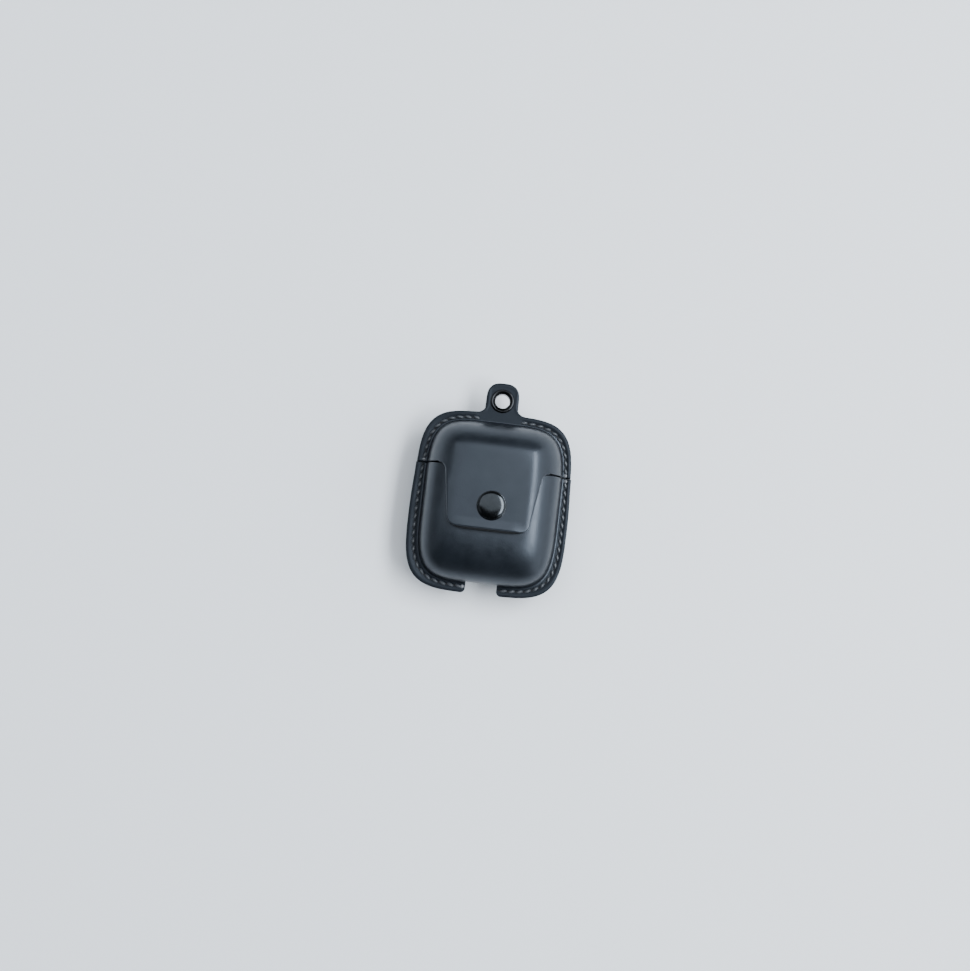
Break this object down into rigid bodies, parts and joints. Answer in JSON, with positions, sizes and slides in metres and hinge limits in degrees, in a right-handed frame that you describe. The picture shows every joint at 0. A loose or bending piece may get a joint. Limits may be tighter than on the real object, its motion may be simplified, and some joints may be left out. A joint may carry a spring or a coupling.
{
  "type": "wireless earbuds case",
  "caption": "Stitched moulded leather cover with snap flap and hanging eyelet, round a hinged charging case that holds wireless earbuds.",
  "frame": {"origin": "centre of the flat back face that the case lies on, behind the middle of the moulded body", "axes": "+Y from the charge port to the hanging tab, +Z out of the front through the snap, +X to the right seen from the front"},
  "size_m": [0.0572, 0.0769, 0.0304],
  "materials": {
    "leather": "satin, smooth moulded black leather",
    "suede": "matt microfibre",
    "thread": "waxed black thread",
    "black_metal": "gloss black plated metal",
    "shell_plastic": "gloss",
    "tray_plastic": "satin",
    "silicone": "soft matt silicone",
    "steel": "satin",
    "mesh_metal": "fine dark mesh",
    "copper": "enamelled wire",
    "ferrite": "matt",
    "board": "solder mask",
    "battery_foil": "wrapped foil",
    "magnet": "nickel plated",
    "light_pipe": "translucent"
  },
  "bodies": {
    "base": {"base_front_leather": "leather", "base_back_leather": "leather", "base_front_lining": "suede", "base_back_lining": "suede", "base_seam_thread_left": "thread", "base_seam_thread_right": "thread", "hinge_strip": "leather", "snap_stud": "black_metal", "snap_rivet": "black_metal", "case_body_shell": "shell_plastic", "earbud_tray": "tray_plastic", "tray_magnet": "magnet", "hinge_body_leaf": "steel", "hinge_pin": "steel", "hinge_spring": "steel", "battery_cell": "battery_foil", "main_board": "board", "charging_coil": "copper", "ferrite_sheet": "ferrite", "charge_port": "steel", "status_light": "light_pipe", "button_switch": "tray_plastic", "charge_contact_left": "steel", "charge_contact_right": "steel", "earbud_left_housing": "shell_plastic", "earbud_left_stem_cap": "mesh_metal", "earbud_left_ear_tip": "silicone", "earbud_left_speaker_mesh": "mesh_metal", "earbud_right_housing": "shell_plastic", "earbud_right_stem_cap": "mesh_metal", "earbud_right_ear_tip": "silicone", "earbud_right_speaker_mesh": "mesh_metal"},
    "lid": {"lid_front_leather": "leather", "lid_back_leather": "leather", "lid_front_lining": "suede", "lid_back_lining": "suede", "lid_seam_thread_left": "thread", "lid_seam_thread_right": "thread", "hang_tab": "leather", "eyelet_barrel": "black_metal", "eyelet_washer": "black_metal", "case_lid_shell": "shell_plastic", "lid_liner": "tray_plastic", "lid_magnet": "magnet", "hinge_lid_leaf": "steel"},
    "flap": {"flap_leather": "leather", "flap_lining": "suede", "snap_cap": "black_metal", "snap_socket": "black_metal", "snap_spring_ring": "steel"},
    "button": {"pair_button": "shell_plastic"}
  },
  "joints": [
    {"name": "lid_open", "type": "hinge", "parent": "base", "child": "lid", "pos_m": [0, 0.0123, 0.0036], "axis": [-1, 0, 0], "range_deg": [0, 95], "deforming": ["hinge_strip"]},
    {"name": "flap_lift", "type": "hinge", "parent": "lid", "child": "flap", "pos_m": [0, 0.0105, 0.02875], "axis": [-1, 0, 0], "range_deg": [0, 90]},
    {"name": "pair_press", "type": "slide", "parent": "base", "child": "button", "axis": [0, 0, 1], "range_m": [0, 0.00035], "stiffness_N_per_m": 1500}
  ]
}
